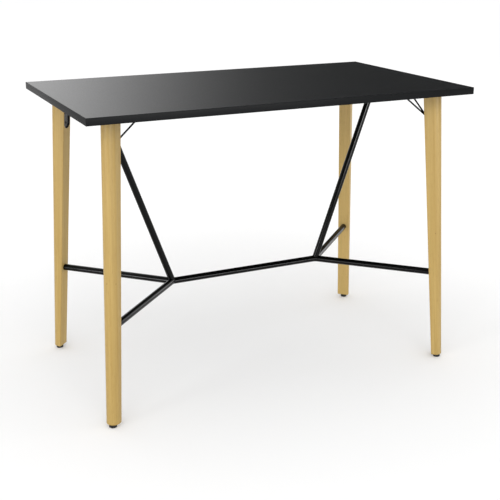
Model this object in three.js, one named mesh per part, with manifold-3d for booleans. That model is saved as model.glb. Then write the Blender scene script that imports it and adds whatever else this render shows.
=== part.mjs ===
// Standing meeting table: a laminate top on four splayed wooden legs, braced by a black tube foot rail.
// Millimetres, +Z up, X along the length. The origin is on the floor under the middle of the top.
import * as THREE from 'three';
import { mergeVertices } from 'three/addons/utils/BufferGeometryUtils.js';
import Module from 'manifold-3d';

const wasm = await Module();
wasm.setup();

// Clearances
const FIT_GAP = 0.3;
const CUT_MARGIN = 3;

// Table top: a faced board with an eased band on each edge
const TOP_LENGTH = 1400;
const TOP_WIDTH = 800;
const TOP_HEIGHT = 1045;
const TOP_THICKNESS = 24;
const EDGE_BAND = 2;
const EDGE_EASE = 0.8;

// Legs: flat towards the middle of the table, round outside, leaning out along the diagonals
const FOOT_INSET = 47;
const LEG_WIDTH = 48;
const LEG_FOOT_DEPTH = 35;
const LEG_HEAD_DEPTH = 60;
const LEG_SPLAY = 76;
const LEG_EDGE_EASE = 2;
const LEG_FOOT_CHAMFER = 2;

// Corner fittings: a plate under the top, a tab let into the leg and a stay bent to a V
const PLATE_THICKNESS = 5;
const PLATE_SETBACK = 1;
const PLATE_CORNER = 15;
const PLATE_SCREW_SPREAD = 22;
const TAB_RIM = 4;
const TAB_LENGTH = 131;
const TAB_THICKNESS = 4;
const TAB_SINK = 6;
const STAY_DIAMETER = 6;
const STAY_DROP = 82;
const STAY_RUN = 80;
const STAY_SPREAD = 57;

// Foot rail: tubes that meet at two nodes on the long middle line
const RAIL_HEIGHT = 343;
const TUBE_DIAMETER = 24;
const TUBE_WALL = 2;
const SOCKET_DEPTH = 14;
const STRUT_INSET = 159;
const STRUT_PLATE_LENGTH = 110;
const STRUT_PLATE_WIDTH = 50;
const STRUT_PLATE_CORNER = 10;
const STRUT_SCREW_SPREAD = 42;

// Levelling feet: a pad that swivels on a threaded stud, in an insert in the leg
const PAD_DIAMETER = 26;
const PAD_HEIGHT = 8;
const PAD_FLOOR = 2.5;
const PAD_EDGE = 2;
const PIN_DIAMETER = 10;
const COLLAR_ACROSS_FLATS = 13;
const COLLAR_HEIGHT = 4.4;
const STUD_DIAMETER = 8;
const STUD_LENGTH = 28;
const STUD_TIP_CHAMFER = 1;
const INSERT_WALL = 2.7;
const INSERT_LENGTH = 22;
const STUD_HEADROOM = 4;

// Fasteners
const SCREW_DIAMETER = 5;
const SCREW_LENGTH = 20;
const SCREW_HEAD_DIAMETER = 10;
const SCREW_HEAD_HEIGHT = 3.2;
const BOLT_DIAMETER = 6;
const BOLT_LENGTH = 32;
const BOLT_HEAD_DIAMETER = 11;
const BOLT_HEAD_HEIGHT = 3.3;
const TIP_LENGTH = 4;
const CROWN_SHARE = 0.6;

// Smoothness of round forms
const TUBE_SIDES = 20;
const ROD_SIDES = 8;
const HEX_SIDES = 6;
const ARC_STEPS = 5;
const WELD_TOLERANCE = 1e-4;

// Levels and places that follow from the sizes above
const TOP_UNDER = TOP_HEIGHT - TOP_THICKNESS;
const PLATE_UNDER = TOP_UNDER - PLATE_THICKNESS;
const LEG_HEAD = PLATE_UNDER;
const LEG_FOOT = PAD_HEIGHT + COLLAR_HEIGHT + 2 * FIT_GAP;
const FOOT_X = TOP_LENGTH / 2 - FOOT_INSET;
const FOOT_Y = TOP_WIDTH / 2 - FOOT_INSET;
const ARM_ANGLE = Math.PI / 4;
const RAIL_MITRE = (Math.PI - ARM_ANGLE) / 2;
const NODE_X = FOOT_X - FOOT_Y;
const NODE_REACH = FOOT_Y / Math.sin(ARM_ANGLE);
const STRUT_HEAD_X = TOP_LENGTH / 2 - STRUT_INSET;
const TUBE_RADIUS = TUBE_DIAMETER / 2;
const STAY_RADIUS = STAY_DIAMETER / 2;
const REACH = TOP_LENGTH + TOP_WIDTH;
const FOUR_CORNERS = [
  { name: 'front_left', x: -1, y: -1 },
  { name: 'front_right', x: 1, y: -1 },
  { name: 'back_left', x: -1, y: 1 },
  { name: 'back_right', x: 1, y: 1 },
];

// Finishes
const BLACK_LAMINATE = { color: 0x26272a, roughness: 0.42, metalness: 0 };
const BLACK_EDGE = { color: 0x2b2c2f, roughness: 0.5, metalness: 0 };
const BEECH = { color: 0xc9a96c, roughness: 0.5, metalness: 0 };
const BLACK_STEEL = { color: 0x141416, roughness: 0.35, metalness: 0.3 };
const BRIGHT_STEEL = { color: 0xb9bcc0, roughness: 0.3, metalness: 1 };
const BLACK_NYLON = { color: 0x101011, roughness: 0.6, metalness: 0 };

const table = new THREE.Group();

// Geometry with shared vertices and without collapsed triangles, ready for joining and cutting
function weld(geometry) {
  const bare = geometry.clone();
  bare.deleteAttribute('normal');
  bare.deleteAttribute('uv');
  const merged = mergeVertices(bare, WELD_TOLERANCE);
  const corners = merged.index.array;
  const kept = [];
  for (let i = 0; i < corners.length; i += 3) {
    const [a, b, c] = corners.subarray(i, i + 3);
    if (a !== b && b !== c && c !== a) kept.push(a, b, c);
  }
  merged.setIndex(kept);
  return merged;
}

function toSolid(geometry) {
  const welded = weld(geometry);
  const mesh = new wasm.Mesh({
    numProp: 3,
    vertProperties: new Float32Array(welded.attributes.position.array),
    triVerts: new Uint32Array(welded.index.array),
  });
  return new wasm.Manifold(mesh);
}

function toGeometry(solid) {
  const mesh = solid.getMesh();
  const geometry = new THREE.BufferGeometry();
  geometry.setAttribute('position', new THREE.BufferAttribute(mesh.vertProperties.slice(), mesh.numProp));
  geometry.setIndex(new THREE.BufferAttribute(mesh.triVerts.slice(), 1));
  geometry.computeVertexNormals();
  return geometry;
}

function cut(geometry, ...tools) {
  return toGeometry(tools.reduce((solid, tool) => solid.subtract(toSolid(tool)), toSolid(geometry)));
}

function join(geometry, ...others) {
  return toGeometry(others.reduce((solid, other) => solid.add(toSolid(other)), toSolid(geometry)));
}

function keepInside(geometry, hull) {
  return toGeometry(toSolid(geometry).intersect(toSolid(hull)));
}

function trimAbove(geometry, level) {
  const block = new THREE.BoxGeometry(2 * REACH, 2 * REACH, REACH);
  return cut(geometry, block.translate(0, 0, level + REACH / 2));
}

// Round piece about Z from [radius, height] points, listed from the lowest point up its outside
function turned(points, sides) {
  const profile = points.map(([radius, height]) => new THREE.Vector2(radius, height));
  return new THREE.LatheGeometry(profile, sides).rotateX(Math.PI / 2);
}

function pin(radius, from, to, sides) {
  return turned([[0, from], [radius, from], [radius, to], [0, to]], sides);
}

function pipe(radius, bore, from, to, sides) {
  return turned([[bore, from], [radius, from], [radius, to], [bore, to], [bore, from]], sides);
}

// Moves a piece that stands on Z to the line from start towards end
function along(geometry, start, end) {
  const direction = end.clone().sub(start).normalize();
  const turn = new THREE.Quaternion().setFromUnitVectors(new THREE.Vector3(0, 0, 1), direction);
  return geometry.applyQuaternion(turn).translate(start.x, start.y, start.z);
}

function flatPlate(shape, under, thickness) {
  const plate = new THREE.ExtrudeGeometry(shape, {
    depth: thickness,
    bevelEnabled: false,
    curveSegments: ARC_STEPS,
  });
  return plate.translate(0, 0, under);
}

function boresAt(points, radius, from, to) {
  return points.map(([x, y]) => pin(radius, from, to, ROD_SIDES).translate(x, y, 0));
}

function addPiece(parent, name, geometry, finish) {
  const mesh = new THREE.Mesh(geometry, new THREE.MeshStandardMaterial(finish));
  mesh.name = name;
  parent.add(mesh);
  return mesh;
}

// Corner frame: local X points out along the diagonal from the foot, local Y across it
function cornerGroup(corner) {
  const group = new THREE.Group();
  group.position.set(corner.x * FOOT_X, corner.y * FOOT_Y, 0);
  group.rotation.z = Math.atan2(corner.y, corner.x);
  table.add(group);
  return group;
}

function cornerToTable(corner, [x, y]) {
  const place = new THREE.Vector3(x, y, 0);
  place.applyAxisAngle(new THREE.Vector3(0, 0, 1), Math.atan2(corner.y, corner.x));
  return [place.x + corner.x * FOOT_X, place.y + corner.y * FOOT_Y];
}

// Leg section at a height: its middle on the diagonal, its depth and its flat face
const legShare = (height) => (height - LEG_FOOT) / (LEG_HEAD - LEG_FOOT);
const legMiddle = (height) => -LEG_SPLAY * legShare(height);
const legDepth = (height) => LEG_FOOT_DEPTH + (LEG_HEAD_DEPTH - LEG_FOOT_DEPTH) * legShare(height);
const legFace = (height) => legMiddle(height) - legDepth(height) / 2;
const FACE_TILT = Math.atan2(legFace(LEG_FOOT) - legFace(LEG_HEAD), LEG_HEAD - LEG_FOOT);

// Face frame: local X across the leg's flat face, Y up it and Z into the wood, from the tab's round end
const RECESS_HALF = LEG_WIDTH / 2 - TAB_RIM;
const TAB_END = PLATE_UNDER - TAB_LENGTH + RECESS_HALF;
const INTO_WOOD = new THREE.Vector3(Math.cos(FACE_TILT), 0, Math.sin(FACE_TILT));
const UP_FACE = new THREE.Vector3(-Math.sin(FACE_TILT), 0, Math.cos(FACE_TILT));
const FACE_FRAME = new THREE.Matrix4()
  .makeBasis(new THREE.Vector3(0, 1, 0), UP_FACE, INTO_WOOD)
  .setPosition(legFace(TAB_END), 0, TAB_END);

// Stay: its bend lies on the tab and its two heads reach the corner plate
const STAY_BEND = new THREE.Vector3(legFace(PLATE_UNDER - STAY_DROP), 0, PLATE_UNDER - STAY_DROP)
  .addScaledVector(INTO_WOOD, TAB_SINK - FIT_GAP - STAY_RADIUS);
const STAY_HEAD_X = STAY_BEND.x - STAY_RUN;
const PLATE_SCREWS = [-1, 1].map((side) => [STAY_HEAD_X, side * PLATE_SCREW_SPREAD]);
const STRUT_SCREWS = [-1, 1].map((side) => [STRUT_HEAD_X + side * STRUT_SCREW_SPREAD, 0]);

// Table top
const TIP_IN_TOP = TOP_UNDER - PLATE_THICKNESS - FIT_GAP + SCREW_LENGTH;

function topPanel() {
  const panel = new THREE.BoxGeometry(
    TOP_LENGTH - 2 * EDGE_BAND,
    TOP_WIDTH - 2 * EDGE_BAND,
    TOP_THICKNESS,
  );
  const cornerScrews = FOUR_CORNERS.flatMap((corner) => PLATE_SCREWS.map((at) => cornerToTable(corner, at)));
  const strutScrews = STRUT_SCREWS.flatMap(([x, y]) => [[x, y], [-x, y]]);
  const bores = boresAt(
    [...cornerScrews, ...strutScrews],
    SCREW_DIAMETER / 2 + FIT_GAP,
    TOP_UNDER - CUT_MARGIN,
    TIP_IN_TOP + FIT_GAP,
  );
  return cut(panel.translate(0, 0, TOP_UNDER + TOP_THICKNESS / 2), ...bores);
}

// Band that faces +X, with its outer edges eased
function edgeBand(length, distance) {
  const section = new THREE.Shape([
    new THREE.Vector2(0, 0),
    new THREE.Vector2(EDGE_BAND - EDGE_EASE, 0),
    new THREE.Vector2(EDGE_BAND, EDGE_EASE),
    new THREE.Vector2(EDGE_BAND, TOP_THICKNESS - EDGE_EASE),
    new THREE.Vector2(EDGE_BAND - EDGE_EASE, TOP_THICKNESS),
    new THREE.Vector2(0, TOP_THICKNESS),
  ]);
  const band = new THREE.ExtrudeGeometry(section, { depth: length, bevelEnabled: false });
  band.translate(0, 0, -length / 2).rotateX(Math.PI / 2);
  return band.translate(distance - EDGE_BAND, 0, TOP_UNDER);
}

function addTop() {
  addPiece(table, 'top_panel', topPanel(), BLACK_LAMINATE);
  const endBand = edgeBand(TOP_WIDTH - 2 * EDGE_BAND, TOP_LENGTH / 2);
  const longBand = edgeBand(TOP_LENGTH, TOP_WIDTH / 2);
  const bands = [
    ['edge_band_right', endBand, 0],
    ['edge_band_back', longBand, 1],
    ['edge_band_left', endBand, 2],
    ['edge_band_front', longBand, 3],
  ];
  for (const [name, geometry, quarterTurns] of bands) {
    const band = addPiece(table, name, geometry, BLACK_EDGE);
    band.rotation.z = quarterTurns * Math.PI / 2;
  }
}

// Leg
function legBlank() {
  const half = LEG_WIDTH / 2;
  const flat = -LEG_FOOT_DEPTH / 2;
  const noseCentre = LEG_FOOT_DEPTH / 2 - half;
  const section = new THREE.Shape();
  section.absarc(noseCentre, 0, half, -Math.PI / 2, Math.PI / 2);
  section.lineTo(flat + LEG_EDGE_EASE, half);
  section.lineTo(flat, half - LEG_EDGE_EASE);
  section.lineTo(flat, LEG_EDGE_EASE - half);
  section.lineTo(flat + LEG_EDGE_EASE, -half);
  const leg = new THREE.ExtrudeGeometry(section, {
    depth: 2,
    steps: 2,
    bevelEnabled: false,
    curveSegments: ARC_STEPS,
  });
  const rings = [LEG_FOOT, LEG_FOOT + LEG_FOOT_CHAMFER, LEG_HEAD];
  const insets = [LEG_FOOT_CHAMFER, 0, 0];
  const position = leg.attributes.position;
  for (let i = 0; i < position.count; i += 1) {
    const ring = Math.round(position.getZ(i));
    const height = rings[ring];
    const stretch = (legDepth(height) - LEG_FOOT_DEPTH) / 2;
    const side = position.getX(i) < noseCentre - WELD_TOLERANCE ? -1 : 1;
    const x = position.getX(i) * (1 - 2 * insets[ring] / LEG_FOOT_DEPTH);
    const y = position.getY(i) * (1 - insets[ring] / half);
    position.setXYZ(i, legMiddle(height) + x + side * stretch, y, height);
  }
  return leg;
}

// Outline of the tab, grown by a clearance, between two depths below the leg's flat face
function tabBlank(halfWidth, from, to) {
  const outline = new THREE.Shape();
  const head = (LEG_HEAD - TAB_END) / Math.cos(FACE_TILT) + to + CUT_MARGIN;
  outline.absarc(0, 0, halfWidth, Math.PI, 2 * Math.PI);
  outline.lineTo(halfWidth, head);
  outline.lineTo(-halfWidth, head);
  return flatPlate(outline, from, to - from).applyMatrix4(FACE_FRAME);
}

function boltBore() {
  const radius = BOLT_DIAMETER / 2 + FIT_GAP;
  return pin(radius, 0, TAB_SINK + BOLT_LENGTH, ROD_SIDES).applyMatrix4(FACE_FRAME);
}

function armSocket() {
  const end = legFace(RAIL_HEIGHT) + SOCKET_DEPTH;
  const socket = pin(TUBE_RADIUS + FIT_GAP, 0, SOCKET_DEPTH + TUBE_DIAMETER, TUBE_SIDES);
  const start = new THREE.Vector3(end, 0, RAIL_HEIGHT);
  return along(socket, start, new THREE.Vector3(end - 1, 0, RAIL_HEIGHT));
}

function insertBore() {
  const wide = STUD_DIAMETER / 2 + FIT_GAP + INSERT_WALL + FIT_GAP;
  const narrow = STUD_DIAMETER / 2 + 2 * FIT_GAP;
  const step = LEG_FOOT + INSERT_LENGTH + FIT_GAP;
  const end = LEG_FOOT - FIT_GAP + STUD_LENGTH + STUD_HEADROOM;
  const start = LEG_FOOT - CUT_MARGIN;
  const profile = [[0, start], [wide, start], [wide, step], [narrow, step], [narrow, end], [0, end]];
  return turned(profile, TUBE_SIDES);
}

function legPiece() {
  const recess = tabBlank(RECESS_HALF, -CUT_MARGIN, TAB_SINK + TAB_THICKNESS + FIT_GAP);
  return cut(legBlank(), recess, boltBore(), armSocket(), insertBore());
}

// Corner fittings
function cornerPlate() {
  const nose = new THREE.Vector2(legMiddle(LEG_HEAD) + (LEG_HEAD_DEPTH - LEG_WIDTH) / 2, 0);
  const noseRadius = LEG_WIDTH / 2 - PLATE_SETBACK;
  const lobe = new THREE.Vector2(STAY_HEAD_X, STAY_SPREAD);
  const towardsNose = nose.clone().sub(lobe);
  const lean = Math.atan2(towardsNose.y, towardsNose.x);
  const tangent = lean + Math.acos((PLATE_CORNER - noseRadius) / towardsNose.length());
  const outline = new THREE.Shape();
  outline.absarc(nose.x, 0, noseRadius, -tangent, tangent);
  outline.absarc(lobe.x, lobe.y, PLATE_CORNER, tangent, Math.PI);
  outline.absarc(lobe.x, -lobe.y, PLATE_CORNER, Math.PI, 2 * Math.PI - tangent);
  const holes = boresAt(
    PLATE_SCREWS,
    SCREW_DIAMETER / 2 + FIT_GAP,
    PLATE_UNDER - CUT_MARGIN,
    TOP_UNDER + CUT_MARGIN,
  );
  return cut(flatPlate(outline, PLATE_UNDER, PLATE_THICKNESS), ...holes);
}

function legTab() {
  const tab = tabBlank(RECESS_HALF - FIT_GAP, TAB_SINK, TAB_SINK + TAB_THICKNESS);
  return cut(trimAbove(tab, PLATE_UNDER), boltBore());
}

function stay() {
  const bend = new THREE.SphereGeometry(STAY_RADIUS, ROD_SIDES, ROD_SIDES);
  bend.translate(STAY_BEND.x, STAY_BEND.y, STAY_BEND.z);
  const rods = [-1, 1].map((side) => {
    const head = new THREE.Vector3(STAY_HEAD_X, side * STAY_SPREAD, PLATE_UNDER);
    const length = head.distanceTo(STAY_BEND) + STAY_DIAMETER;
    return along(pin(STAY_RADIUS, 0, length, ROD_SIDES), STAY_BEND, head);
  });
  return trimAbove(join(bend, ...rods), PLATE_UNDER);
}

// Fasteners: a round head below its seat and a pointed shank above it
function fastener(radius, length, headRadius, headHeight, seat) {
  const top = seat + length;
  const crown = seat - headHeight;
  return turned([
    [0, crown],
    [headRadius * CROWN_SHARE, crown],
    [headRadius, seat - headHeight / 2],
    [headRadius, seat],
    [radius, seat],
    [radius, top - TIP_LENGTH],
    [0, top],
  ], ROD_SIDES);
}

function panelScrew([x, y]) {
  const screw = fastener(
    SCREW_DIAMETER / 2,
    SCREW_LENGTH,
    SCREW_HEAD_DIAMETER / 2,
    SCREW_HEAD_HEIGHT,
    PLATE_UNDER - FIT_GAP,
  );
  return screw.translate(x, y, 0);
}

function tabBolt() {
  const bolt = fastener(
    BOLT_DIAMETER / 2,
    BOLT_LENGTH,
    BOLT_HEAD_DIAMETER / 2,
    BOLT_HEAD_HEIGHT,
    TAB_SINK - FIT_GAP,
  );
  return bolt.applyMatrix4(FACE_FRAME);
}

// Foot rail: hollow tubes, mitred where they meet at a node
function hollowTube(start, end) {
  const tube = pipe(TUBE_RADIUS, TUBE_RADIUS - TUBE_WALL, 0, start.distanceTo(end), TUBE_SIDES);
  return along(tube, start, end);
}

function mitreBlock(points) {
  const outline = new THREE.Shape(points);
  return flatPlate(outline, RAIL_HEIGHT - TUBE_DIAMETER, 2 * TUBE_DIAMETER);
}

function longRail() {
  const end = NODE_X - FIT_GAP / 2 / Math.sin(RAIL_MITRE);
  const side = end * Math.tan(RAIL_MITRE);
  const tube = hollowTube(
    new THREE.Vector3(-NODE_X, 0, RAIL_HEIGHT),
    new THREE.Vector3(NODE_X, 0, RAIL_HEIGHT),
  );
  const mitres = mitreBlock([
    new THREE.Vector2(end, 0),
    new THREE.Vector2(0, side),
    new THREE.Vector2(-end, 0),
    new THREE.Vector2(0, -side),
  ]);
  return keepInside(tube, mitres);
}

// Arm of one corner: hand is the side of the diagonal on which the long rail lies
function legArm(hand) {
  const start = new THREE.Vector3(-NODE_REACH - TUBE_DIAMETER, 0, RAIL_HEIGHT);
  const end = new THREE.Vector3(legFace(RAIL_HEIGHT) + SOCKET_DEPTH - FIT_GAP, 0, RAIL_HEIGHT);
  const tip = new THREE.Vector2(-NODE_REACH + FIT_GAP / 2 / Math.sin(ARM_ANGLE), 0);
  const ray = (angle) => new THREE.Vector2(Math.cos(angle), Math.sin(angle)).multiplyScalar(REACH).add(tip);
  const railSide = ray(hand * RAIL_MITRE);
  const armSide = ray(-hand * ARM_ANGLE);
  const wedge = hand > 0 ? [tip, armSide, railSide] : [tip, railSide, armSide];
  return keepInside(hollowTube(start, end), mitreBlock(wedge));
}

// Strut of the right-hand node, fitted over the tubes that meet there
function strut() {
  const node = new THREE.Vector3(NODE_X, 0, RAIL_HEIGHT);
  const head = new THREE.Vector3(STRUT_HEAD_X, 0, PLATE_UNDER);
  const beyond = head.clone().addScaledVector(head.clone().sub(node).normalize(), TUBE_DIAMETER);
  const tools = [Math.PI, ARM_ANGLE, -ARM_ANGLE].map((angle) => {
    const towards = new THREE.Vector3(Math.cos(angle), Math.sin(angle), 0).add(node);
    return along(pin(TUBE_RADIUS + FIT_GAP, 0, 4 * TUBE_DIAMETER, TUBE_SIDES), node, towards);
  });
  return trimAbove(cut(hollowTube(node, beyond), ...tools), PLATE_UNDER);
}

function strutPlate() {
  const x = STRUT_PLATE_LENGTH / 2 - STRUT_PLATE_CORNER;
  const y = STRUT_PLATE_WIDTH / 2 - STRUT_PLATE_CORNER;
  const outline = new THREE.Shape();
  outline.absarc(x, y, STRUT_PLATE_CORNER, 0, Math.PI / 2);
  outline.absarc(-x, y, STRUT_PLATE_CORNER, Math.PI / 2, Math.PI);
  outline.absarc(-x, -y, STRUT_PLATE_CORNER, Math.PI, 1.5 * Math.PI);
  outline.absarc(x, -y, STRUT_PLATE_CORNER, 1.5 * Math.PI, 2 * Math.PI);
  const plate = flatPlate(outline, PLATE_UNDER, PLATE_THICKNESS).translate(STRUT_HEAD_X, 0, 0);
  const holes = boresAt(
    STRUT_SCREWS,
    SCREW_DIAMETER / 2 + FIT_GAP,
    PLATE_UNDER - CUT_MARGIN,
    TOP_UNDER + CUT_MARGIN,
  );
  return cut(plate, ...holes);
}

function addFootRail() {
  addPiece(table, 'long_rail', longRail(), BLACK_STEEL);
  const ends = [['right', 0], ['left', Math.PI]];
  for (const [side, turn] of ends) {
    const end = new THREE.Group();
    end.rotation.z = turn;
    table.add(end);
    addPiece(end, `strut_${side}`, strut(), BLACK_STEEL);
    addPiece(end, `strut_plate_${side}`, strutPlate(), BLACK_STEEL);
    STRUT_SCREWS.forEach((at, i) => {
      addPiece(end, `strut_screw_${side}_${i + 1}`, panelScrew(at), BRIGHT_STEEL);
    });
  }
}

// Levelling foot
function glidePad() {
  const radius = PAD_DIAMETER / 2;
  const socket = PIN_DIAMETER / 2 + FIT_GAP;
  return turned([
    [0, 0],
    [radius - PAD_EDGE, 0],
    [radius, PAD_EDGE],
    [radius, PAD_HEIGHT - PAD_EDGE],
    [radius - PAD_EDGE, PAD_HEIGHT],
    [socket, PAD_HEIGHT],
    [socket, PAD_FLOOR],
    [0, PAD_FLOOR],
  ], TUBE_SIDES);
}

function glideStud() {
  const collar = PAD_HEIGHT + FIT_GAP;
  const shoulder = collar + COLLAR_HEIGHT;
  const radius = STUD_DIAMETER / 2;
  const core = turned([
    [0, PAD_FLOOR + FIT_GAP],
    [PIN_DIAMETER / 2, PAD_FLOOR + FIT_GAP],
    [PIN_DIAMETER / 2, collar + COLLAR_HEIGHT / 2],
    [radius, collar + COLLAR_HEIGHT / 2],
    [radius, shoulder + STUD_LENGTH - STUD_TIP_CHAMFER],
    [radius - STUD_TIP_CHAMFER, shoulder + STUD_LENGTH],
    [0, shoulder + STUD_LENGTH],
  ], TUBE_SIDES);
  const hexagon = pin(COLLAR_ACROSS_FLATS / 2 / Math.cos(Math.PI / HEX_SIDES), collar, shoulder, HEX_SIDES);
  return join(core, hexagon);
}

function glideInsert() {
  const bore = STUD_DIAMETER / 2 + FIT_GAP;
  return pipe(bore + INSERT_WALL, bore, LEG_FOOT, LEG_FOOT + INSERT_LENGTH, TUBE_SIDES);
}

function addCorner(corner) {
  const group = cornerGroup(corner);
  addPiece(group, `leg_${corner.name}`, legPiece(), BEECH);
  addPiece(group, `corner_plate_${corner.name}`, cornerPlate(), BLACK_STEEL);
  addPiece(group, `leg_tab_${corner.name}`, legTab(), BLACK_STEEL);
  addPiece(group, `stay_${corner.name}`, stay(), BLACK_STEEL);
  addPiece(group, `arm_${corner.name}`, legArm(corner.x * corner.y), BLACK_STEEL);
  addPiece(group, `tab_bolt_${corner.name}`, tabBolt(), BLACK_STEEL);
  PLATE_SCREWS.forEach((at, i) => {
    addPiece(group, `plate_screw_${corner.name}_${i + 1}`, panelScrew(at), BRIGHT_STEEL);
  });
  addPiece(group, `glide_insert_${corner.name}`, glideInsert(), BRIGHT_STEEL);
  addPiece(group, `glide_stud_${corner.name}`, glideStud(), BRIGHT_STEEL);
  addPiece(group, `glide_pad_${corner.name}`, glidePad(), BLACK_NYLON);
}

addTop();
addFootRail();
FOUR_CORNERS.forEach(addCorner);

export default table;
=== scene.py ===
"""Standing meeting table: smooth meshes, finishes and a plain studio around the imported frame."""

import logging
import math
from dataclasses import dataclass
from enum import Enum
from itertools import combinations
from typing import Iterable, Optional, Sequence, Union

import bmesh
import bpy
from bmesh.types import BMEdge, BMesh, BMVert
from bpy.types import Material, Mesh, Node, NodeSocket, NodeTree, Object
from mathutils import Matrix, Vector


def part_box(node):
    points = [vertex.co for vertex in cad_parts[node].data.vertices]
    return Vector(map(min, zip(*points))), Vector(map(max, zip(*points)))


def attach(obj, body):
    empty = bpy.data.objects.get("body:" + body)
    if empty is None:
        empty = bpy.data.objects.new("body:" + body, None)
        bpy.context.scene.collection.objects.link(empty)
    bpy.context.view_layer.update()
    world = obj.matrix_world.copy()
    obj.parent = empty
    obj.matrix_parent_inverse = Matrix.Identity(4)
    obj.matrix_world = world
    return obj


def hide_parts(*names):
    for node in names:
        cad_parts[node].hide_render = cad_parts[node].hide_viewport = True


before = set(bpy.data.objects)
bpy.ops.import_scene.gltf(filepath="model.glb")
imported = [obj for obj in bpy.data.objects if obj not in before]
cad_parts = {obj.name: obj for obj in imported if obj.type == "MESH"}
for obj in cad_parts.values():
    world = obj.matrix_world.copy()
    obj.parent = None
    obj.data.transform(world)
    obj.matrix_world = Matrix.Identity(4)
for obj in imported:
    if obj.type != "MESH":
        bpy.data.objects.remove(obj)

LOG = logging.getLogger("standing_table")
Colour = Union[Sequence[float], NodeSocket]
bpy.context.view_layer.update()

STILL_BODY = "table"
UP = Vector((0, 0, 1))
MM = 0.001
# Clearance between fitted pieces, and the distance under which two points are one
GAP = 0.3 * MM
WELD = 0.002 * MM
# Edges sharper than these are shaded as edges, or rounded off
SHARP_ANGLE = math.radians(32)
EASE_ANGLE = math.radians(40)
# Sides of tubes and other round pieces, of turned fasteners and of thin rods
ROUND_STEPS = 48
TURNED_STEPS = 24
ROD_STEPS = 20
# Metres of grain from one leg's plank to the next, so that no two legs show the same wood
PLANK = 3.0
# Where the values of a noise pattern mostly lie
NOISE_SPAN = (0.3, 0.7)


class Corner(Enum):
    """The four legs as seen from the front: signs of their X and Y, and the painted light on their wood."""

    # The last value is painted light: the wood is drawn paler on the legs that stand deeper in the table's
    # shade, the back right one most
    FRONT_LEFT = ("front_left", -1, -1, 0.0)
    FRONT_RIGHT = ("front_right", 1, -1, 0.3)
    BACK_LEFT = ("back_left", -1, 1, 0.3)
    BACK_RIGHT = ("back_right", 1, 1, 1.0)

    def __init__(self, label: str, side_x: int, side_y: int, painted_light: float) -> None:
        """Keep what is known of the corner.

        Args:
            label: Ending of the names of its nodes.
            side_x: Sign of its X.
            side_y: Sign of its Y.
            painted_light: Painted light on its wood, from 0 to 1: a paler colour that lifts the legs that the
                table shades more.
        """
        self.label = label
        self.side_x = side_x
        self.side_y = side_y
        self.painted_light = painted_light

    @property
    def frame(self) -> Matrix:
        """Corner frame: origin on the floor under the foot, X out along the diagonal.

        Returns:
            The matrix from the corner frame to the table's.
        """
        low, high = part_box(f"glide_pad_{self.label}")
        middle = (low + high) / 2
        turn = math.atan2(self.side_y, self.side_x)
        return Matrix.Translation((middle.x, middle.y, 0)) @ Matrix.Rotation(turn, 4, "Z")


class End(Enum):
    """The two ends of the foot rail, with the sign of their X."""

    LEFT = ("left", -1)
    RIGHT = ("right", 1)

    def __init__(self, label: str, side_x: int) -> None:
        """Keep what is known of the end.

        Args:
            label: Ending of the names of its nodes.
            side_x: Sign of its X.
        """
        self.label = label
        self.side_x = side_x


class Side(Enum):
    """The table's four edges: the axis that they face along, and which way."""

    FRONT = ("front", 1, -1)
    BACK = ("back", 1, 1)
    LEFT = ("left", 0, -1)
    RIGHT = ("right", 0, 1)

    def __init__(self, label: str, axis: int, outward: int) -> None:
        """Keep what is known of the edge.

        Args:
            label: Ending of its node's name.
            axis: 0 where it faces along X, 1 where along Y.
            outward: Sign of the way that it faces.
        """
        self.label = label
        self.axis = axis
        self.outward = outward


class Join(Enum):
    """Ways to combine two closed meshes."""

    CUT = "DIFFERENCE"
    FUSE = "UNION"


class Drive(Enum):
    """Recess in a fastener's head."""

    CROSS = "cross"
    HEXAGON = "hexagon"


# Colour and shader nodes


def linear(hex_colour: str) -> tuple[float, float, float, float]:
    """Turn an sRGB hex colour into linear RGBA.

    Args:
        hex_colour: Six hex digits after a hash sign.

    Returns:
        Red, green, blue and alpha as a shader socket takes them.
    """
    channels = [int(hex_colour[i:i + 2], 16) / 255 for i in (1, 3, 5)]
    red, green, blue = (c / 12.92 if c <= 0.04045 else ((c + 0.055) / 1.055) ** 2.4 for c in channels)
    return red, green, blue, 1.0


def add_node(tree: NodeTree, kind: str, settings: Optional[dict] = None,
             inputs: Optional[dict] = None) -> Node:
    """Add one node, set its properties and feed its sockets.

    Args:
        tree: Node tree that gets the node.
        kind: Node type, without the leading ShaderNode.
        settings: Property names and their values.
        inputs: Socket names or numbers, each with a constant or an output socket to link.

    Returns:
        The new node.
    """
    node = tree.nodes.new(f"ShaderNode{kind}")
    for name, value in (settings or {}).items():
        setattr(node, name, value)
    for socket, value in (inputs or {}).items():
        if isinstance(value, NodeSocket):
            tree.links.new(value, node.inputs[socket])
        else:
            node.inputs[socket].default_value = value
    return node


def blend(tree: NodeTree, share: NodeSocket, first: Colour, second: Colour) -> NodeSocket:
    """Mix two colours.

    Args:
        tree: Node tree that gets the node.
        share: Socket with the second colour's share.
        first: Colour at a share of 0.
        second: Colour at a share of 1.

    Returns:
        The socket with the mixed colour.
    """
    mix = add_node(tree, "Mix", {"data_type": "RGBA"}, {"Factor": share, 6: first, 7: second})
    return mix.outputs[2]


def spread(tree: NodeTree, value: NodeSocket, span: tuple[float, float], result: tuple[float, float],
           soft: bool = False) -> NodeSocket:
    """Carry a value from one range to another, held at both ends.

    Args:
        tree: Node tree that gets the node.
        value: Socket with the value.
        span: Where the value's range begins and ends.
        result: What it becomes there.
        soft: Whether the change eases in and out.

    Returns:
        The socket with the result.
    """
    node = add_node(tree, "MapRange", {"interpolation_type": "SMOOTHSTEP" if soft else "LINEAR"}, {
        "Value": value, "From Min": span[0], "From Max": span[1], "To Min": result[0], "To Max": result[1]})
    return node.outputs["Result"]


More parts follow.
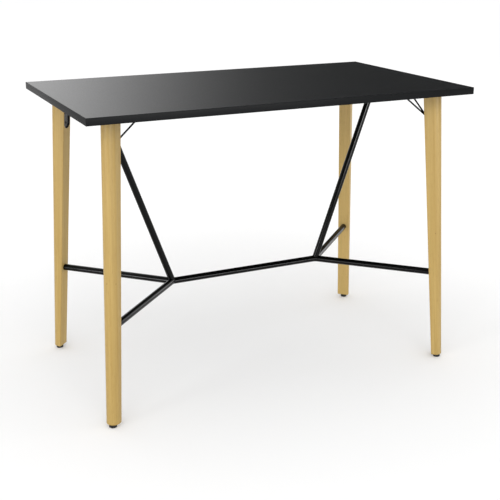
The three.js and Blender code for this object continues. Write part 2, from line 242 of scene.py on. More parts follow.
def noise(tree: NodeTree, place: NodeSocket, size: Sequence[float], detail: float,
          roughness: float = 0.5) -> NodeSocket:
    """Draw a noise pattern at its real size.

    Args:
        tree: Node tree that gets the nodes.
        place: Socket with the coordinates, in metres.
        size: Size of a patch along each axis.
        detail: How many times finer noise is laid over it.
        roughness: How strong the finer noise is.

    Returns:
        The socket with the pattern.
    """
    patch = add_node(tree, "Mapping", {"vector_type": "TEXTURE"}, {"Vector": place, "Scale": size})
    pattern = add_node(tree, "TexNoise", {}, {
        "Vector": patch.outputs["Vector"], "Scale": 1.0, "Detail": detail, "Roughness": roughness})
    return pattern.outputs["Fac"]


def set_ramp(node: Node, stops: Sequence[tuple[float, Sequence[float]]]) -> None:
    """Give a colour ramp its stops, with straight lines between them.

    Args:
        node: Colour ramp node.
        stops: Places from 0 to 1, each with its linear RGBA colour.
    """
    ramp = node.color_ramp
    ramp.interpolation = "LINEAR"
    while len(ramp.elements) < len(stops):
        ramp.elements.new(0.5)
    for element, (place, colour) in zip(ramp.elements, stops):
        element.position = place
        element.color = colour


@dataclass(frozen=True)
class Finish:
    """A surface finish: its name, a slot name and what its shader needs everywhere."""

    name: str
    slot: str
    ior: float = 1.5
    specular: float = 0.5
    metallic: float = 0.0

    def material(self) -> Material:
        """Find the finish's material, or draw it on first use.

        Returns:
            The material.
        """
        known = bpy.data.materials.get(self.name)
        if known:
            return known
        material = bpy.data.materials.new(self.name)
        material.use_nodes = True
        shader = material.node_tree.nodes["Principled BSDF"]
        shader.inputs["IOR"].default_value = self.ior
        shader.inputs["Specular IOR Level"].default_value = self.specular
        shader.inputs["Metallic"].default_value = self.metallic
        self.draw(material.node_tree, shader)
        return material

    def draw(self, tree: NodeTree, shader: Node) -> None:
        """Draw the pattern into the shader's colour, roughness and normal.

        Args:
            tree: The material's nodes.
            shader: Its Principled shader.
        """
        raise NotImplementedError

    @staticmethod
    def feed(tree: NodeTree, shader: Node, colour: NodeSocket, gloss: NodeSocket, height: NodeSocket,
             relief: float, strength: float = 1.0) -> None:
        """Link a drawn pattern to the shader.

        Args:
            tree: The material's nodes.
            shader: Its Principled shader.
            colour: Socket with the colour.
            gloss: Socket with the roughness.
            height: Socket with the height of the surface, from 0 to 1.
            relief: Depth of the relief in metres.
            strength: Share of the relief that shows.
        """
        bump = add_node(tree, "Bump", {}, {"Height": height, "Strength": strength, "Distance": relief})
        tree.links.new(colour, shader.inputs["Base Color"])
        tree.links.new(gloss, shader.inputs["Roughness"])
        tree.links.new(bump.outputs["Normal"], shader.inputs["Normal"])


@dataclass(frozen=True)
class FineGrain(Finish):
    """A plain finish with a fine even grain: laminate, edge strip, powder coat, nylon or plating.

    The grain shows as a soft break-up of the gloss and a shade of difference in colour. Real grain of a
    tenth of a millimetre wouldn't show at all, so none is drawn finer than about a millimetre.
    """

    dark: str = "#101011"
    light: str = "#18181a"
    grain: float = 2 * MM
    cloud: float = 60 * MM
    relief: float = 0.02 * MM
    smooth: float = 0.3
    rough: float = 0.4
    cloud_detail: float = 4.0
    grain_detail: float = 2.0

    def draw(self, tree: NodeTree, shader: Node) -> None:
        """Draw a clouded colour, a grain in the gloss and a fine relief.

        Args:
            tree: The material's nodes.
            shader: Its Principled shader.
        """
        place = add_node(tree, "TexCoord").outputs["Object"]
        cloud = noise(tree, place, (self.cloud,) * 3, self.cloud_detail)
        grain = noise(tree, place, (self.grain,) * 3, self.grain_detail)
        colour = blend(tree, cloud, linear(self.dark), linear(self.light))
        gloss = spread(tree, grain, NOISE_SPAN, (self.smooth, self.rough))
        self.feed(tree, shader, colour, gloss, grain, self.relief)


@dataclass(frozen=True)
class Beech(Finish):
    """Straight-grained beech under a clear satin lacquer.

    The eye sees long faint growth bands, short darker flecks along the grain and a few pin knots.
    The flecks of real beech are about 0.3 mm wide, so they are drawn wider here to show at all.
    """

    # The first colour is pale wood lifted by painted light, for the legs that the table shades most
    pale_with_painted_light: str = "#c7a867"
    pale: str = "#ba9d5d"
    deep: str = "#aa8b4a"
    fleck_colour: str = "#8f6e36"
    knot_colour: str = "#6b4a24"
    band_width: float = 9 * MM
    band_length: float = 420 * MM
    fleck_width: float = 1.6 * MM
    fleck_length: float = 26 * MM
    band_detail: float = 5.0
    band_roughness: float = 0.6
    fleck_detail: float = 2.0
    fleck_span: tuple[float, float] = (0.58, 0.8)
    fleck_strength: float = 0.5
    relief: float = 0.03 * MM
    relief_strength: float = 0.6
    smooth: float = 0.42
    rough: float = 0.52
    knots: tuple[tuple[float, float, float], ...] = ()
    knot_radius: float = 2.6 * MM
    knot_core: float = 0.91 * MM
    knot_strength: float = 0.6

    def draw(self, tree: NodeTree, shader: Node) -> None:
        """Draw bands, flecks and knots along each leg's own grain, on a wood colour made paler by each leg's
        painted light.

        Args:
            tree: The material's nodes.
            shader: Its Principled shader.
        """
        grain = add_node(tree, "Attribute", {"attribute_name": Leg.GRAIN}).outputs["Vector"]
        # Each leg's share of painted light, which pales its wood where the table shades it more
        painted_light_share = add_node(tree, "Attribute", {"attribute_name": Leg.PAINTED_LIGHT}).outputs["Fac"]
        band_size = (self.band_width, self.band_width, self.band_length)
        fleck_size = (self.fleck_width, self.fleck_width, self.fleck_length)
        bands = noise(tree, grain, band_size, self.band_detail, self.band_roughness)
        flecks = noise(tree, grain, fleck_size, self.fleck_detail)
        tone = spread(tree, bands, NOISE_SPAN, (0, 1))
        bright = blend(tree, painted_light_share, linear(self.pale), linear(self.pale_with_painted_light))
        dull = blend(tree, painted_light_share, linear(self.deep), linear(self.pale))
        wood = blend(tree, tone, bright, dull)
        share = spread(tree, flecks, self.fleck_span, (0, self.fleck_strength))
        colour = blend(tree, share, wood, linear(self.fleck_colour))
        for knot in self.knots:
            away = add_node(tree, "VectorMath", {"operation": "DISTANCE"}, {0: grain, 1: knot})
            spot = spread(tree, away.outputs["Value"], (self.knot_core, self.knot_radius),
                          (self.knot_strength, 0), soft=True)
            colour = blend(tree, spot, colour, linear(self.knot_colour))
        gloss = spread(tree, flecks, NOISE_SPAN, (self.smooth, self.rough))
        self.feed(tree, shader, colour, gloss, flecks, self.relief, self.relief_strength)


# Satin melamine face: soft sheen at a low angle, hardly any gloss straight on
LAMINATE = FineGrain("satin_black_laminate", "black_laminate_board", specular=0.4, dark="#1d1e20",
                     light="#212324", grain=3 * MM, cloud=180 * MM, relief=0.002 * MM, smooth=0.36,
                     rough=0.42)
# Extruded ABS strip: a shade darker than the laminate and nearly without gloss
EDGE_STRIP = FineGrain("matt_black_edge_strip", "black_edge_band", specular=0.045, dark="#161718",
                       light="#1b1c1d", grain=4 * MM, cloud=140 * MM, relief=0.02 * MM, smooth=0.36,
                       rough=0.46)
# Cured polyester powder: satin black with a slight orange peel
POWDER_COAT = FineGrain("satin_black_powder_coat", "black_powder_coat", specular=0.15, dark="#010101",
                        light="#030303", grain=2.5 * MM, cloud=50 * MM, relief=0.01 * MM, smooth=0.12,
                        rough=0.18)
# Pressed steel in the same powder, thinly coated: a little browner and shinier than the tubes
PRESSED_STEEL = FineGrain("thin_coated_pressed_steel", "black_powder_coat", specular=0.36, dark="#1f1b1a",
                          light="#282321", grain=2.5 * MM, cloud=30 * MM, relief=0.003 * MM, smooth=0.24,
                          rough=0.3)
# Bright zinc on steel: a cool clouded metal
ZINC = FineGrain("bright_zinc_plate", "zinc_steel", metallic=1.0, dark="#a4a8ad", light="#c3c6c9",
                 grain=1.5 * MM, cloud=12 * MM, relief=0.01 * MM, smooth=0.22, rough=0.36)
# Moulded nylon: dull black with a fine spark-eroded grain
NYLON = FineGrain("moulded_black_nylon", "black_nylon", specular=0.4, dark="#0c0c0d", light="#141415",
                  grain=1.2 * MM, cloud=15 * MM, relief=0.03 * MM, smooth=0.45, rough=0.6)
# Beech under satin lacquer, with a pin knot or two half-way up each front leg
BEECH = Beech("lacquered_beech", "beech", specular=0.3, knots=(
    (-3 * MM, 23 * MM, 502 * MM), (22 * MM, 9 * MM, 500 * MM), (-23 * MM, 6 * MM, PLANK + 502 * MM)))


# Mesh tools


def aim(start: Vector, end: Vector) -> Matrix:
    """Matrix that stands Z on the line from start towards end, with its origin at start.

    Args:
        start: Where the piece begins.
        end: A point further along its axis.

    Returns:
        The placing matrix.
    """
    return Matrix.Translation(start) @ (end - start).to_track_quat("Z", "Y").to_matrix().to_4x4()


def spun(profile: Sequence[tuple[float, float]], steps: int = ROUND_STEPS) -> BMesh:
    """Turn a profile about Z into a closed piece.

    Args:
        profile: Radius and height of each point, from end to end.
        steps: Sides of the full turn.

    Returns:
        The turned mesh.
    """
    bm = bmesh.new()
    points = [bm.verts.new((radius, 0, height)) for radius, height in profile]
    edges = [bm.edges.new(pair) for pair in zip(points, points[1:])]
    bmesh.ops.spin(bm, geom=points + edges, cent=(0, 0, 0), axis=UP, dvec=(0, 0, 0), angle=math.tau,
                   steps=steps, use_merge=True, use_duplicate=False)
    return tidy(bm)


def tidy(bm: BMesh) -> BMesh:
    """Merge doubled points and turn all faces outwards.

    Args:
        bm: A closed mesh.

    Returns:
        The same mesh.
    """
    bmesh.ops.remove_doubles(bm, verts=bm.verts, dist=WELD)
    bmesh.ops.dissolve_degenerate(bm, edges=bm.edges, dist=WELD)
    bmesh.ops.recalc_face_normals(bm, faces=bm.faces)
    return bm


def placed(bm: BMesh, matrix: Matrix) -> BMesh:
    """Move a mesh by a matrix and return it."""
    bmesh.ops.transform(bm, matrix=matrix, verts=bm.verts)
    return bm


def rod(start: Vector, end: Vector, radius: float, steps: int = ROUND_STEPS) -> BMesh:
    """Solid round bar between two points.

    Args:
        start: Middle of the first end.
        end: Middle of the other end.
        radius: The bar's radius.
        steps: Sides of the bar.

    Returns:
        The bar.
    """
    bm = bmesh.new()
    length = (end - start).length
    bmesh.ops.create_cone(bm, cap_ends=True, segments=steps, radius1=radius, radius2=radius, depth=length,
                          matrix=aim(start, end) @ Matrix.Translation((0, 0, length / 2)))
    return bm


def block(size: Vector, middle: Vector) -> BMesh:
    """Box of a size about its middle.

    Args:
        size: Its length along each axis.
        middle: Where its middle lies.

    Returns:
        The box.
    """
    bm = bmesh.new()
    bmesh.ops.create_cube(bm, size=1, matrix=Matrix.Translation(middle) @ Matrix.Diagonal((*size, 1)))
    return bm


def carve(blank: BMesh, tools: Iterable[BMesh], how: Join) -> BMesh:
    """Cut or fuse closed meshes.

    Args:
        blank: The mesh to work on. It is used up.
        tools: Meshes that are cut away or fused on. They are used up.
        how: Which of the two is done.

    Returns:
        The finished mesh.
    """
    bench = []
    for bm in [blank, *tools]:
        mesh = bpy.data.meshes.new("bench")
        tidy(bm).to_mesh(mesh)
        bm.free()
        bench.append(bpy.data.objects.new("bench", mesh))
        bpy.context.scene.collection.objects.link(bench[-1])
    for tool in bench[1:]:
        step = bench[0].modifiers.new("step", "BOOLEAN")
        step.operation = how.value
        step.solver = "EXACT"
        step.object = tool
    result = bmesh.new()
    result.from_object(bench[0], bpy.context.evaluated_depsgraph_get())
    for spent in bench:
        mesh = spent.data
        bpy.data.objects.remove(spent)
        bpy.data.meshes.remove(mesh)
    return tidy(result)


def bevelled(bm: BMesh, edges: Sequence[BMEdge], offset: float, segments: int) -> BMesh:
    """Round the given edges.

    Args:
        bm: The mesh.
        edges: Edges to round.
        offset: Width of the rounding on each face.
        segments: Faces across it.

    Returns:
        The same mesh.
    """
    bmesh.ops.bevel(bm, geom=list(edges), offset=offset, offset_type="OFFSET", segments=segments,
                    profile=0.5, affect="EDGES", material=-1, clamp_overlap=True)
    return bm


def eased(bm: BMesh, offset: float, segments: int = 2) -> BMesh:
    """Round every edge that is sharper than the easing angle.

    Args:
        bm: A closed mesh.
        offset: Width of the rounding.
        segments: Faces across it.

    Returns:
        The same mesh.
    """
    sharp = [e for e in bm.edges if len(e.link_faces) == 2 and e.calc_face_angle() > EASE_ANGLE]
    return bevelled(bm, sharp, offset, segments)


def is_level(edge: BMEdge) -> bool:
    """Whether both ends of an edge lie at one height."""
    return abs(edge.verts[0].co.z - edge.verts[1].co.z) < WELD


def capped(bm: BMesh) -> BMesh:
    """Close the open ends of a mesh and return it."""
    bmesh.ops.holes_fill(bm, edges=[e for e in bm.edges if e.is_boundary], sides=0)
    return bm


def trimmed(bm: BMesh, point: Vector, outwards: Vector) -> BMesh:
    """Cut off what lies beyond a plane and close the cut.

    Args:
        bm: A closed solid mesh.
        point: A point on the plane.
        outwards: The side that goes.

    Returns:
        The same mesh.
    """
    bmesh.ops.bisect_plane(bm, geom=bm.verts[:] + bm.edges[:] + bm.faces[:], dist=WELD, plane_co=point,
                           plane_no=outwards, clear_outer=True)
    return capped(bm)


def u_face(radius: float, reach: float, steps: int) -> BMesh:
    """Flat face like a U: half a circle below the origin and straight sides up to reach.

    Args:
        radius: Half the width of the U.
        reach: Height of its straight end above the origin.
        steps: Sides of the half circle.

    Returns:
        A mesh with one face in the XY plane.
    """
    bm = bmesh.new()
    first = bm.verts.new((-radius, 0, 0))
    bmesh.ops.spin(bm, geom=[first], cent=(0, 0, 0), axis=UP, dvec=(0, 0, 0), angle=math.pi, steps=steps,
                   use_merge=False, use_duplicate=False)
    bm.verts.ensure_lookup_table()
    last = max(bm.verts, key=lambda v: v.co.x)
    corners = [bm.verts.new((radius, reach, 0)), bm.verts.new((-radius, reach, 0))]
    for pair in ((last, corners[0]), tuple(corners), (corners[1], first)):
        bm.edges.new(pair)
    bmesh.ops.contextual_create(bm, geom=bm.edges[:])
    return bm


def raised(bm: BMesh, step: Vector) -> list[BMVert]:
    """Extrude the faces of a flat mesh into a closed solid.

    Args:
        bm: A mesh of flat faces.
        step: The way to the other end.

    Returns:
        The points of the new end.
    """
    made = bmesh.ops.extrude_face_region(bm, geom=bm.faces[:])
    end = [item for item in made["geom"] if isinstance(item, BMVert)]
    bmesh.ops.translate(bm, verts=end, vec=step)
    bmesh.ops.recalc_face_normals(bm, faces=bm.faces)
    return end


def add_piece(bm: BMesh, name: str, finish: Finish, body: str, *nodes: str) -> Object:
    """Make a finished piece that rides on a body and stands for its nodes.

    Args:
        bm: The piece's closed mesh, in place. It is used up.
        name: The piece's name.
        finish: Its surface.
        body: The body that carries it.
        nodes: The frame's nodes that it stands for.

    Returns:
        The new object.
    """
    mesh = bpy.data.meshes.new(name)
    tidy(bm).to_mesh(mesh)
    bm.free()
    mesh.shade_smooth()
    mesh.set_sharp_from_angle(angle=SHARP_ANGLE)
    mesh.materials.append(finish.material())
    piece = bpy.data.objects.new(name, mesh)
    bpy.context.scene.collection.objects.link(piece)
    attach(piece, body)
    if nodes:
        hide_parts(*nodes)
    LOG.info("%s: %d faces, on %s", name, len(mesh.polygons), body)
    return piece


# Fasteners


@dataclass(frozen=True)
class Fastener:
    """Screw or bolt with a domed head, made along +Z with its seat at the origin."""

    radius: float
    length: float
    head_radius: float
    head_height: float
    drive: Drive
    drive_width: float
    tip: float = 4 * MM
    dome_steps: int = 6
    # Shares of the head: the flat on its crown, its straight rim and the drive's depth. Then a cross's arm as
    # a share of its width, and its deeper arm against the other.
    crown: float = 0.35
    rim: float = 0.3
    drive_depth: float = 0.6
    cross_arm: float = 0.25
    cross_step: float = 1.03

    def build(self, matrix: Matrix) -> BMesh:
        """Make the fastener.

        Args:
            matrix: Places its seat, with +Z into the material.

        Returns:
            Its mesh in place.
        """
        turns = [math.radians(90) * i / self.dome_steps for i in range(self.dome_steps + 1)]
        flat = self.head_radius * self.crown
        dome = [(flat + (self.head_radius - flat) * math.sin(t),
                 -self.head_height * (self.rim + (1 - self.rim) * math.cos(t))) for t in turns]
        shank = [(self.head_radius, 0), (self.radius, 0), (self.radius, self.length - self.tip)]
        solid = spun([(0, -self.head_height), *dome, *shank, (0, self.length)], TURNED_STEPS)
        return placed(carve(solid, self.recess(), Join.CUT), matrix)

    def recess(self) -> list[BMesh]:
        """Make the cutters that sink the drive into the head.

        Returns:
            One hexagon, or the two arms of a cross.
        """
        top = -self.head_height * UP
        deep = self.drive_depth * self.head_height
        if self.drive is Drive.HEXAGON:
            return [rod(2 * top, top + deep * UP, self.drive_width / math.sqrt(3), 6)]
        arm = self.cross_arm * self.drive_width
        # One arm is a little deeper, because cutters that end in one plane leave stray points on it
        sizes = ((self.drive_width, arm, 2 * deep), (arm, self.drive_width, 2 * deep * self.cross_step))
        return [block(Vector(size), top) for size in sizes]


PANEL_SCREW = Fastener(2.5 * MM, 20 * MM, 5 * MM, 3.2 * MM, Drive.CROSS, 5.2 * MM)
TAB_BOLT = Fastener(3 * MM, 32 * MM, 5.5 * MM, 3.3 * MM, Drive.HEXAGON, 4 * MM)


def screw_holes(seats: Iterable[Matrix]) -> list[BMesh]:
    """Make the cutters for the panel screws of a plate.

    Args:
        seats: The screws' seats under the plate.

    Returns:
        A round bar for each screw.
    """
    reach = PANEL_SCREW.length / 2 * UP
    return [rod(seat.translation - reach, seat.translation + reach, PANEL_SCREW.radius + GAP, ROD_STEPS)
            for seat in seats]


# Table top


@dataclass
class TableTop:
    """Laminate board with a strip glued to each edge."""

    ease: float = 0.8 * MM
    ease_steps: int = 3

    def build(self) -> None:
        """Make the four edge strips, eased along the table's outside."""
        for side in Side:
            node = f"edge_band_{side.label}"
            low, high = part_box(node)
            limit = (high if side.outward > 0 else low)[side.axis]
            bm = block(high - low, (low + high) / 2)
            outer = [e for e in bm.edges if all(abs(v.co[side.axis] - limit) < WELD for v in e.verts)]
            bevelled(bm, outer, self.ease, self.ease_steps)
            add_piece(bm, f"edge_strip_{side.label}", EDGE_STRIP, STILL_BODY, node)

    def dress(self) -> None:
        """Give the board its laminate."""
        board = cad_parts["top_panel"]
        board.data.materials.clear()
        board.data.materials.append(LAMINATE.material())
        LOG.info("top_panel: laminate on the packed board")


# Legs


@dataclass(frozen=True)
class LegShape:
    """The leg's outline in its corner frame, from its foot to its head."""

    foot: float
    head: float
    width: float = 48 * MM
    foot_depth: float = 35 * MM
    head_depth: float = 60 * MM
    splay: float = 76 * MM

    @classmethod
    def from_frame(cls) -> "LegShape":
        """Read the leg's foot and head from the frame."""
        low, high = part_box("leg_front_left")
        return cls(low.z, high.z)

    def share(self, height: float) -> float:
        """Share of the way from the foot to the head."""
        return (height - self.foot) / (self.head - self.foot)

    def middle(self, height: float) -> float:
        """Place of the section's middle on the diagonal."""
        return -self.splay * self.share(height)

    def depth(self, height: float) -> float:
        """Depth of the section along the diagonal."""
        return self.foot_depth + (self.head_depth - self.foot_depth) * self.share(height)

    def face(self, height: float) -> float:
        """Place of the flat inner face on the diagonal."""
        return self.middle(height) - self.depth(height) / 2

    @property
    def tilt(self) -> float:
        """Lean of the flat inner face."""
        return math.atan2(self.face(self.foot) - self.face(self.head), self.head - self.foot)

    @property
    def into_wood(self) -> Vector:
        """Direction square to the flat face, into the leg."""
        return Vector((math.cos(self.tilt), 0, math.sin(self.tilt)))

    def face_frame(self, height: float) -> Matrix:
        """Frame on the flat face: X across it, Y up it and Z into the wood.

        Args:
            height: Height of the frame's origin.

        Returns:
            The frame as a matrix in the corner frame.
        """
        up_face = Vector((-math.sin(self.tilt), 0, math.cos(self.tilt)))
        turn = Matrix((Vector((0, 1, 0)), up_face, self.into_wood)).transposed().to_4x4()
        return Matrix.Translation((self.face(height), 0, height)) @ turn


@dataclass(frozen=True)
class TabShape:
    """Round-ended tab let into the leg's flat face, and the recess that it lies in."""

    leg: LegShape
    rim: float = 4 * MM
    length: float = 131 * MM
    thickness: float = 4 * MM
    sink: float = 6 * MM
    wall: float = 1.2 * MM
    wall_setback: float = 0.3 * MM
    tray_depth: float = 4.5 * MM
    margin: float = 3 * MM
    steps: int = 24

    @property
    def half_width(self) -> float:
        """Half the width of the recess."""
        return self.leg.width / 2 - self.rim

    @property
    def end(self) -> float:
        """Height of the middle of the round end."""
        return self.leg.head - self.length + self.half_width

    def blank(self, half_width: float, near: float, far: float) -> BMesh:
        """Prism of the tab's outline between two depths below the flat face.

        Args:
            half_width: Half the outline's width.
            near: Depth of its front.
            far: Depth of its back.

        Returns:
            The prism in the corner frame.
        """
        reach = (self.leg.head - self.end) / math.cos(self.leg.tilt) + far + self.margin
        bm = u_face(half_width, reach, self.steps)
        bmesh.ops.translate(bm, verts=bm.verts, vec=(0, 0, near))
        raised(bm, Vector((0, 0, far - near)))
        return placed(bm, self.leg.face_frame(self.end))


@dataclass
class Leg:
    """One wooden leg with its recess, sockets and bores."""

    GRAIN = "grain"
    # Name of the stored share of painted light that pales the wood of the legs in the table's shade
    PAINTED_LIGHT = "painted_light"

    corner: Corner
    shape: LegShape
    tab: TabShape
    rail: "FootRail"
    foot: "LevellingFoot"
    edge_round: float = 2 * MM
    edge_steps: int = 4
    foot_round: float = 3 * MM
    foot_steps: int = 3
    nose_steps: int = 40
    stud_depth: float = 32 * MM

    def build(self) -> None:
        """Make the leg and store the run of its grain."""
        bm = carve(self.blank(), self.tools(), Join.CUT)
        name = self.corner.label
        placed(bm, self.corner.frame)
        piece = add_piece(bm, f"wooden_leg_{name}", BEECH, STILL_BODY, f"leg_{name}")
        self.store_grain(piece.data)

    def blank(self) -> BMesh:
        """Make the plain tapered leg.

        Returns:
            The leg in the corner frame.
        """
        shape = self.shape
        half = shape.width / 2
        nose = shape.foot_depth / 2 - half
        bm = u_face(half, shape.foot_depth - half, self.nose_steps)
        placed(bm, Matrix.Translation((nose, 0, shape.foot)) @ Matrix.Rotation(math.pi / 2, 4, "Z"))
        top = raised(bm, Vector((-shape.splay, 0, shape.head - shape.foot)))
        stretch = (shape.head_depth - shape.foot_depth) / 2
        inner = [v for v in top if v.co.x + shape.splay < nose - WELD]
        bmesh.ops.translate(bm, verts=top, vec=(stretch, 0, 0))
        bmesh.ops.translate(bm, verts=inner, vec=(-2 * stretch, 0, 0))
        upright = [e for e in bm.edges if not is_level(e)]
        arrises = sorted(upright, key=lambda e: min(v.co.x for v in e.verts))[:2]
        bevelled(bm, arrises, self.edge_round, self.edge_steps)
        rim = [e for e in bm.edges if all(abs(v.co.z - shape.foot) < WELD for v in e.verts)]
        return bevelled(bm, rim, self.foot_round, self.foot_steps)

    def tools(self) -> list[BMesh]:
        """Make the leg's cutters.

        Returns:
            Those for the recess, the bolt, the arm and the levelling foot.
        """
        tab = self.tab
        shape = self.shape
        recess = tab.blank(tab.half_width, -tab.margin, tab.sink + tab.thickness + GAP)
        bolt = rod(Vector(), (tab.sink + TAB_BOLT.length) * UP, TAB_BOLT.radius + GAP, ROD_STEPS)
        placed(bolt, shape.face_frame(tab.end))
        face = Vector((shape.face(self.rail.height), 0, self.rail.height))
        out = Vector((1, 0, 0))
        socket = rod(face - 2 * self.rail.radius * out, face + self.rail.socket_depth * out,
                     self.rail.radius + GAP)
        wide = self.foot.insert_radius + GAP
        narrow = self.foot.stud_radius + 2 * GAP
        low = shape.foot - self.foot_round
        shelf = shape.foot + self.foot.insert_length + GAP
        end = shape.foot + self.stud_depth
        bore = spun([(0, low), (wide, low), (wide, shelf), (narrow, shelf), (narrow, end), (0, end)],
                    TURNED_STEPS)
        return [recess, bolt, socket, bore]

    def store_grain(self, mesh: Mesh) -> None:
        """Store each point's place in the leg's run of grain, across, through and along the leg, and the
        leg's painted light.

        Args:
            mesh: The finished leg.
        """
        grain = mesh.attributes.new(self.GRAIN, "FLOAT_VECTOR", "POINT")
        back = self.corner.frame.inverted()
        start = PLANK * list(Corner).index(self.corner)
        for vertex, item in zip(mesh.vertices, grain.data):
            place = back @ vertex.co
            item.vector = (place.y, place.x - self.shape.middle(place.z), start + place.z)
        # Painted light: one share for the whole leg, paler wood where the table shades it more
        tone = mesh.attributes.new(self.PAINTED_LIGHT, "FLOAT", "POINT")
        for item in tone.data:
            item.value = self.corner.painted_light


# Corner fittings


@dataclass
class CornerFitting:
    """Plate, tab, bent stay, bolt and screws that hold one leg under the top."""

    corner: Corner
    leg: LegShape
    tab: TabShape
    plate_top: float
    plate_setback: float = 1 * MM
    plate_corner: float = 15 * MM
    screw_spread: float = 22 * MM
    stay_radius: float = 3 * MM
    stay_drop: float = 82 * MM
    stay_run: float = 80 * MM
    stay_spread: float = 57 * MM
    bend_radius: float = 5 * MM
    bend_steps: int = 8
    ease: float = 0.7 * MM
    flat_angle: float = math.radians(1)

    @property
    def bend(self) -> Vector:
        """Point of the stay's bend, where its two straight lines meet.

        Returns:
            The point in the corner frame, a gap in front of the tab.
        """
        height = self.leg.head - self.stay_drop
        on_face = Vector((self.leg.face(height), 0, height))
        return on_face + self.leg.into_wood * (self.tab.sink - GAP - self.stay_radius)

    @property
    def head_x(self) -> float:
        """Place of the stay's heads and the plate's screws on the diagonal."""
        return self.bend.x - self.stay_run

    def build(self) -> None:
        """Make the corner's steel pieces."""
        name = self.corner.label
        pieces = [("corner_plate", PRESSED_STEEL, self.plate()),
                  ("leg_tab", PRESSED_STEEL, self.tab_tray()),
                  ("stay", POWDER_COAT, self.stay()),
                  ("tab_bolt", PRESSED_STEEL, TAB_BOLT.build(self.bolt_seat()))]
        for node, finish, bm in pieces:
            placed(bm, self.corner.frame)
            add_piece(bm, f"steel_{node}_{name}", finish, STILL_BODY, f"{node}_{name}")
        for number, seat in enumerate(self.screw_seats(), start=1):
            bm = placed(PANEL_SCREW.build(seat), self.corner.frame)
            add_piece(bm, f"wood_screw_{name}_{number}", ZINC, STILL_BODY, f"plate_screw_{name}_{number}")

    def bolt_seat(self) -> Matrix:
        """Place of the bolt's seat on the tab."""
        return self.leg.face_frame(self.tab.end) @ Matrix.Translation((0, 0, self.tab.sink - GAP))

    def screw_seats(self) -> list[Matrix]:
        """Places of the screws' seats under the plate."""
        height = self.leg.head - GAP
        return [Matrix.Translation((self.head_x, side * self.screw_spread, height)) for side in (-1, 1)]

    def plate(self) -> BMesh:
        """Make the plate: a round end over the leg and two round corners at the stay's heads.

        Returns:
            The plate, bored for its screws.
        """
        nose = self.leg.middle(self.leg.head) + (self.leg.head_depth - self.leg.width) / 2
        discs = [(nose, 0, self.leg.width / 2 - self.plate_setback)]
        discs += [(self.head_x, side * self.stay_spread, self.plate_corner) for side in (-1, 1)]
        bm = bmesh.new()
        height = self.plate_top - self.leg.head
        for x, y, radius in discs:
            at = Matrix.Translation((x, y, self.leg.head + height / 2))
            bmesh.ops.create_cone(bm, cap_ends=True, segments=ROUND_STEPS, radius1=radius, radius2=radius,
                                  depth=height, matrix=at)
        # The hull keeps faces that are already there, so only the discs' points go into it
        bmesh.ops.delete(bm, geom=bm.edges[:], context="EDGES_FACES")
        hull = bmesh.ops.convex_hull(bm, input=bm.verts[:])
        spare = {*hull["geom_interior"], *hull["geom_unused"]}
        bmesh.ops.delete(bm, geom=[v for v in spare if isinstance(v, BMVert)], context="VERTS")
        tidy(bm)
        bmesh.ops.dissolve_limit(bm, angle_limit=self.flat_angle, verts=bm.verts, edges=bm.edges)
        eased(bm, self.ease)
        return carve(bm, screw_holes(self.screw_seats()), Join.CUT)

    def tab_tray(self) -> BMesh:
        """Make the tab: a pressed tray with a thin wall, cut level under the plate.

        Returns:
            The tab, bored for its bolt.
        """
        tab = self.tab
        outer = tab.half_width - GAP
        bm = tab.blank(outer, tab.wall_setback, tab.sink + tab.thickness)
        trimmed(bm, Vector((0, 0, self.leg.head)), UP)
        inner = tab.blank(outer - tab.wall, -tab.margin, tab.tray_depth)
        seat = self.bolt_seat()
        into = seat.to_3x3() @ UP
        hole = rod(seat.translation - into * tab.sink, seat.translation + into * 2 * tab.sink,
                   TAB_BOLT.radius + GAP, ROD_STEPS)
        return carve(bm, [inner, hole], Join.CUT)

    def stay(self) -> BMesh:
        """Make the stay: one thin rod bent to a V.

        Returns:
            The stay, cut level under the plate.
        """
        bend = self.bend
        heads = [Vector((self.head_x, side * self.stay_spread, self.leg.head)) for side in (-1, 1)]
        ways = [(head - bend).normalized() for head in heads]
        half = ways[0].angle(ways[1]) / 2
        run = self.bend_radius / math.tan(half)
        inner = (ways[0] + ways[1]).normalized()
        centre = bend + inner * (self.bend_radius / math.sin(half))
        axis = (-ways[0]).cross(ways[1]).normalized()
        bm = bmesh.new()
        start = heads[0] + ways[0] * 2 * self.stay_radius
        ring = bmesh.ops.create_circle(bm, cap_ends=False, segments=ROD_STEPS, radius=self.stay_radius,
                                       matrix=aim(start, bend))
        edges = list({e for v in ring["verts"] for e in v.link_edges})
        edges = self.drawn_on(bm, edges, bend + ways[0] * run - start)
        turned = bmesh.ops.spin(bm, geom=edges, cent=centre, axis=axis, dvec=(0, 0, 0),
                                angle=math.pi - 2 * half, steps=self.bend_steps, use_merge=False,
                                use_duplicate=False)
        edges = [item for item in turned["geom_last"] if isinstance(item, BMEdge)]
        far = heads[1] + ways[1] * 2 * self.stay_radius
        self.drawn_on(bm, edges, far - (bend + ways[1] * run))
        return trimmed(tidy(capped(bm)), Vector((0, 0, self.leg.head)), UP)

    @staticmethod
    def drawn_on(bm: BMesh, edges: Sequence[BMEdge], step: Vector) -> list[BMEdge]:
        """Draw a ring of edges on by a step.

        Args:
            bm: The rod so far.
            edges: Its last ring.
            step: The way to the new ring.

        Returns:
            The new ring.
        """
        made = bmesh.ops.extrude_edge_only(bm, edges=list(edges))["geom"]
        points = [item for item in made if isinstance(item, BMVert)]
        bmesh.ops.translate(bm, verts=points, vec=step)
        return [e for e in made if isinstance(e, BMEdge) and all(v in points for v in e.verts)]


# Foot rail


